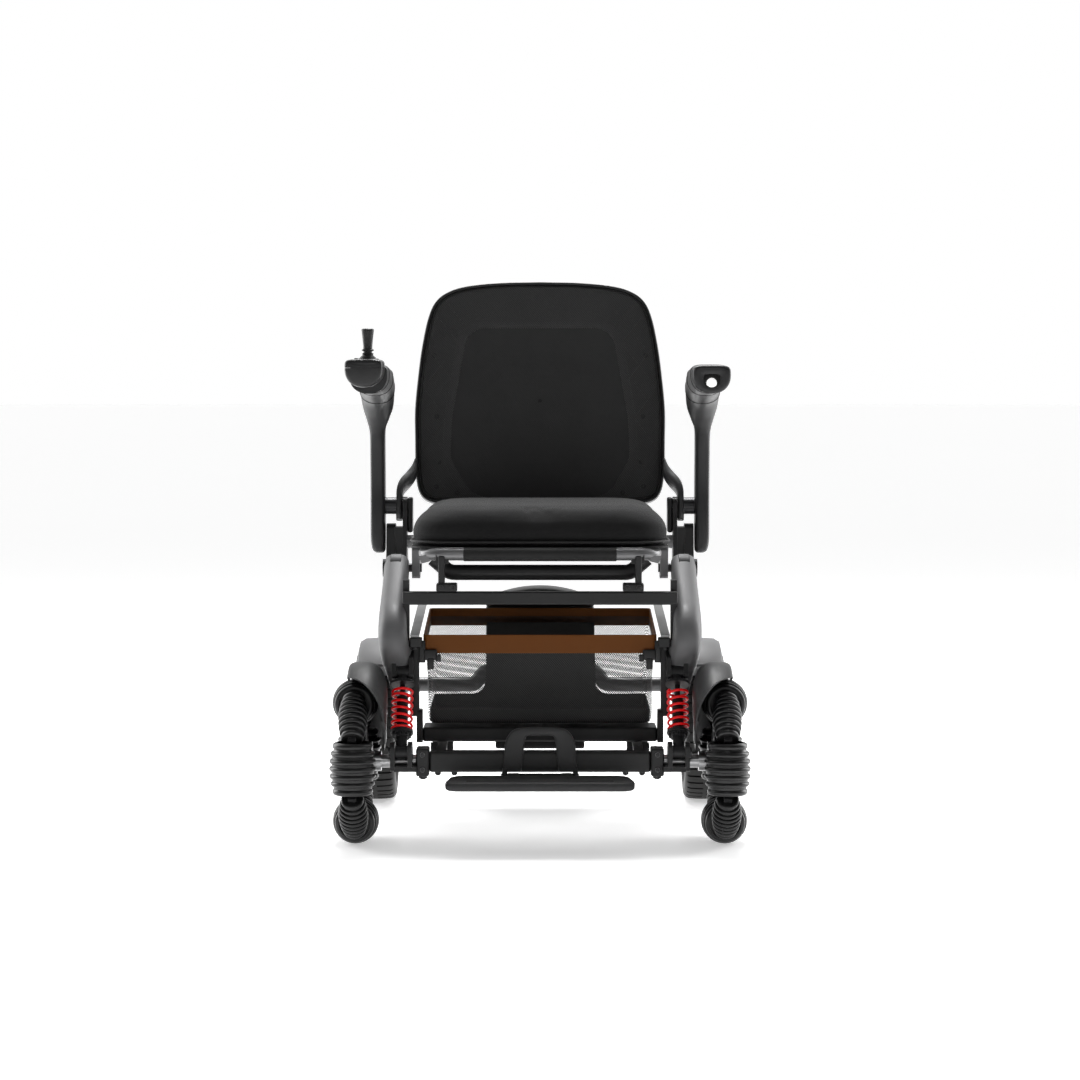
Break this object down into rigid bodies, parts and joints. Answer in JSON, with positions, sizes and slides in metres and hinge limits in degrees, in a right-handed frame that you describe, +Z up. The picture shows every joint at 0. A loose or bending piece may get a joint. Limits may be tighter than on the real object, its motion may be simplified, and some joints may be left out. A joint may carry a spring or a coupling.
{
  "type": "power wheelchair",
  "caption": "Folding power wheelchair with ribbed omni front wheels, red coil-over shocks, basket, mesh back and joystick armrest.",
  "frame": {"origin": "on the ground, midway between the front and rear axles, on the chair's middle plane", "axes": "+Z up, front of the chair towards -Y, +X to the left of the seated user"},
  "size_m": [0.63, 0.7595, 0.8656],
  "materials": {
    "hub_black": "satin",
    "roller_rubber": "semi-gloss rubber",
    "rear_tyre": "matt",
    "motor_black": "painted satin black",
    "arm_plastic": "satin",
    "beam_grey": "satin grey",
    "frame_black": "satin black",
    "steel": "satin",
    "guard_plastic": "satin",
    "shock_black": "satin black",
    "spring_red": "gloss red",
    "rail_silver": "brushed",
    "basket_mesh": "open mesh with a brown leather band",
    "foot_plastic": "satin with ribs",
    "grey_metal": "satin grey",
    "battery_plastic": "fine texture",
    "seat_tube": "satin grey",
    "pan_board": "matt",
    "seat_fabric": "woven black",
    "back_rim": "satin",
    "back_mesh": "knitted mesh",
    "pod_plastic": "satin",
    "stick_rubber": "soft matt"
  },
  "bodies": {
    "front_frame": {"left_side_beam": "beam_grey", "right_side_beam": "beam_grey", "frame_brackets": "frame_black", "frame_pins": "steel", "cross_frame": "frame_black", "electronics_tray": "guard_plastic", "basket_rails": "rail_silver", "basket": "basket_mesh", "footrest_hanger": "frame_black"},
    "foot_plate_body": {"foot_plate": "foot_plastic"},
    "front_axle": {"front_crossbar": "frame_black", "axle_arms": "frame_black", "stub_axles": "steel", "axle_fasteners": "steel", "mudguards": "guard_plastic"},
    "shock_uppers": {"shock_tops": "shock_black", "shock_springs": "spring_red"},
    "shock_lowers": {"shock_tubes": "shock_black"},
    "rear_frame": {"rear_legs": "frame_black", "rear_crossbeam": "grey_metal", "battery_box": "battery_plastic", "rear_axles": "steel"},
    "seat": {"seat_frame": "seat_tube", "seat_hoop": "frame_black", "seat_link_plates": "frame_black", "seat_pan": "pan_board", "seat_cushion": "seat_fabric", "hinge_side_plates": "frame_black", "side_pins": "steel"},
    "backrest": {"back_frame": "back_rim", "back_mesh": "back_mesh", "back_arms": "grey_metal"},
    "left_arm": {"left_armrest": "arm_plastic", "joystick_pod": "pod_plastic"},
    "right_arm": {"right_armrest": "arm_plastic"},
    "stick_ring": {"joystick_ring": "pod_plastic"},
    "stick": {"joystick_stick": "stick_rubber"},
    "buttons": {"pod_buttons": "pod_plastic"},
    "left_front_wheel": {"left_omni_hub": "hub_black"},
    "left_big_roller_1": {"left_big_roller_1": "roller_rubber"},
    "left_small_roller_1": {"left_small_roller_1": "roller_rubber"},
    "left_big_roller_2": {"left_big_roller_2": "roller_rubber"},
    "left_small_roller_2": {"left_small_roller_2": "roller_rubber"},
    "left_big_roller_3": {"left_big_roller_3": "roller_rubber"},
    "left_small_roller_3": {"left_small_roller_3": "roller_rubber"},
    "left_big_roller_4": {"left_big_roller_4": "roller_rubber"},
    "left_small_roller_4": {"left_small_roller_4": "roller_rubber"},
    "left_rear_wheel": {"left_rear_rim": "motor_black", "left_rear_tyre": "rear_tyre"},
    "right_front_wheel": {"right_omni_hub": "hub_black"},
    "right_big_roller_1": {"right_big_roller_1": "roller_rubber"},
    "right_small_roller_1": {"right_small_roller_1": "roller_rubber"},
    "right_big_roller_2": {"right_big_roller_2": "roller_rubber"},
    "right_small_roller_2": {"right_small_roller_2": "roller_rubber"},
    "right_big_roller_3": {"right_big_roller_3": "roller_rubber"},
    "right_small_roller_3": {"right_small_roller_3": "roller_rubber"},
    "right_big_roller_4": {"right_big_roller_4": "roller_rubber"},
    "right_small_roller_4": {"right_small_roller_4": "roller_rubber"},
    "right_rear_wheel": {"right_rear_rim": "motor_black", "right_rear_tyre": "rear_tyre"}
  },
  "joints": [
    {"name": "frame_fold", "type": "hinge", "parent": "front_frame", "child": "rear_frame", "pos_m": [0, 0, 0.403], "axis": [-1, 0, 0], "range_deg": [0, 38], "deforming": ["basket"]},
    {"name": "seat_level", "type": "hinge", "parent": "front_frame", "child": "seat", "pos_m": [0, 0, 0.403], "axis": [-1, 0, 0], "range_deg": [0, 19]},
    {"name": "front_suspension", "type": "hinge", "parent": "front_frame", "child": "front_axle", "pos_m": [0, -0.11, 0.128], "axis": [-1, 0, 0], "range_deg": [0, 6], "stiffness_Nm_per_rad": 450, "springref_deg": -4.58},
    {"name": "shock_tilt", "type": "hinge", "parent": "front_frame", "child": "shock_uppers", "pos_m": [0, -0.205, 0.256], "axis": [-1, 0, 0], "range_deg": [0, 3.4]},
    {"name": "shock_travel", "type": "slide", "parent": "shock_uppers", "child": "shock_lowers", "axis": [0, 0.4921, 0.8706], "range_m": [0, 0.0165], "deforming": ["shock_springs"]},
    {"name": "foot_plate_flip", "type": "hinge", "parent": "front_frame", "child": "foot_plate_body", "pos_m": [0, -0.281, 0.106], "axis": [-1, 0, 0], "range_deg": [0, 65]},
    {"name": "backrest_fold", "type": "hinge", "parent": "seat", "child": "backrest", "pos_m": [0, 0.205, 0.492], "axis": [1, 0, 0], "range_deg": [0, 74]},
    {"name": "left_armrest_lift", "type": "hinge", "parent": "seat", "child": "left_arm", "pos_m": [-0.265, 0.205, 0.492], "axis": [-1, 0, 0], "range_deg": [0, 95]},
    {"name": "right_armrest_lift", "type": "hinge", "parent": "seat", "child": "right_arm", "pos_m": [0.265, 0.205, 0.492], "axis": [-1, 0, 0], "range_deg": [0, 95]},
    {"name": "stick_forward_back", "type": "hinge", "parent": "left_arm", "child": "stick_ring", "pos_m": [-0.265, -0.251, 0.73], "axis": [1, 0, 0], "range_deg": [-18, 18], "stiffness_Nm_per_rad": 0.6},
    {"name": "stick_left_right", "type": "hinge", "parent": "stick_ring", "child": "stick", "pos_m": [-0.265, -0.251, 0.73], "axis": [0, 1, 0], "range_deg": [-18, 18], "stiffness_Nm_per_rad": 0.6},
    {"name": "button_press", "type": "slide", "parent": "left_arm", "child": "buttons", "axis": [0, 0, -1], "range_m": [0, 0.0014], "stiffness_N_per_m": 800, "springref_m": -0.0005},
    {"name": "left_front_wheel_spin", "type": "hinge", "parent": "front_axle", "child": "left_front_wheel", "pos_m": [-0.28, -0.25, 0.125], "axis": [1, 0, 0], "continuous": true},
    {"name": "left_big_roller_1_spin", "type": "hinge", "parent": "left_front_wheel", "child": "left_big_roller_1", "pos_m": [-0.28, -0.34, 0.125], "axis": [0, 0, 1], "continuous": true},
    {"name": "left_small_roller_1_spin", "type": "hinge", "parent": "left_front_wheel", "child": "left_small_roller_1", "pos_m": [-0.28, -0.32248, 0.19748], "axis": [0, 0.7071, 0.7071], "continuous": true},
    {"name": "left_big_roller_2_spin", "type": "hinge", "parent": "left_front_wheel", "child": "left_big_roller_2", "pos_m": [-0.28, -0.25, 0.215], "axis": [0, 1, 0], "continuous": true},
    {"name": "left_small_roller_2_spin", "type": "hinge", "parent": "left_front_wheel", "child": "left_small_roller_2", "pos_m": [-0.28, -0.17752, 0.19748], "axis": [0, 0.7071, -0.7071], "continuous": true},
    {"name": "left_big_roller_3_spin", "type": "hinge", "parent": "left_front_wheel", "child": "left_big_roller_3", "pos_m": [-0.28, -0.16, 0.125], "axis": [0, 0, -1], "continuous": true},
    {"name": "left_small_roller_3_spin", "type": "hinge", "parent": "left_front_wheel", "child": "left_small_roller_3", "pos_m": [-0.28, -0.17752, 0.05252], "axis": [0, -0.7071, -0.7071], "continuous": true},
    {"name": "left_big_roller_4_spin", "type": "hinge", "parent": "left_front_wheel", "child": "left_big_roller_4", "pos_m": [-0.28, -0.25, 0.035], "axis": [0, -1, 0], "continuous": true},
    {"name": "left_small_roller_4_spin", "type": "hinge", "parent": "left_front_wheel", "child": "left_small_roller_4", "pos_m": [-0.28, -0.32248, 0.05252], "axis": [0, -0.7071, 0.7071], "continuous": true},
    {"name": "left_rear_wheel_spin", "type": "hinge", "parent": "rear_frame", "child": "left_rear_wheel", "pos_m": [-0.272, 0.25, 0.125], "axis": [1, 0, 0], "continuous": true},
    {"name": "right_front_wheel_spin", "type": "hinge", "parent": "front_axle", "child": "right_front_wheel", "pos_m": [0.28, -0.25, 0.125], "axis": [1, 0, 0], "continuous": true},
    {"name": "right_big_roller_1_spin", "type": "hinge", "parent": "right_front_wheel", "child": "right_big_roller_1", "pos_m": [0.28, -0.34, 0.125], "axis": [0, 0, 1], "continuous": true},
    {"name": "right_small_roller_1_spin", "type": "hinge", "parent": "right_front_wheel", "child": "right_small_roller_1", "pos_m": [0.28, -0.32248, 0.19748], "axis": [0, 0.7071, 0.7071], "continuous": true},
    {"name": "right_big_roller_2_spin", "type": "hinge", "parent": "right_front_wheel", "child": "right_big_roller_2", "pos_m": [0.28, -0.25, 0.215], "axis": [0, 1, 0], "continuous": true},
    {"name": "right_small_roller_2_spin", "type": "hinge", "parent": "right_front_wheel", "child": "right_small_roller_2", "pos_m": [0.28, -0.17752, 0.19748], "axis": [0, 0.7071, -0.7071], "continuous": true},
    {"name": "right_big_roller_3_spin", "type": "hinge", "parent": "right_front_wheel", "child": "right_big_roller_3", "pos_m": [0.28, -0.16, 0.125], "axis": [0, 0, -1], "continuous": true},
    {"name": "right_small_roller_3_spin", "type": "hinge", "parent": "right_front_wheel", "child": "right_small_roller_3", "pos_m": [0.28, -0.17752, 0.05252], "axis": [0, -0.7071, -0.7071], "continuous": true},
    {"name": "right_big_roller_4_spin", "type": "hinge", "parent": "right_front_wheel", "child": "right_big_roller_4", "pos_m": [0.28, -0.25, 0.035], "axis": [0, -1, 0], "continuous": true},
    {"name": "right_small_roller_4_spin", "type": "hinge", "parent": "right_front_wheel", "child": "right_small_roller_4", "pos_m": [0.28, -0.32248, 0.05252], "axis": [0, -0.7071, 0.7071], "continuous": true},
    {"name": "right_rear_wheel_spin", "type": "hinge", "parent": "rear_frame", "child": "right_rear_wheel", "pos_m": [0.272, 0.25, 0.125], "axis": [1, 0, 0], "continuous": true}
  ],
  "couplings": [
    {"joint": "seat_level", "follows": "frame_fold", "ratio": 0.5},
    {"joint": "shock_tilt", "follows": "front_suspension", "ratio": 0.51167},
    {"joint": "shock_travel", "follows": "front_suspension", "m_per_rad": 0.14735}
  ]
}
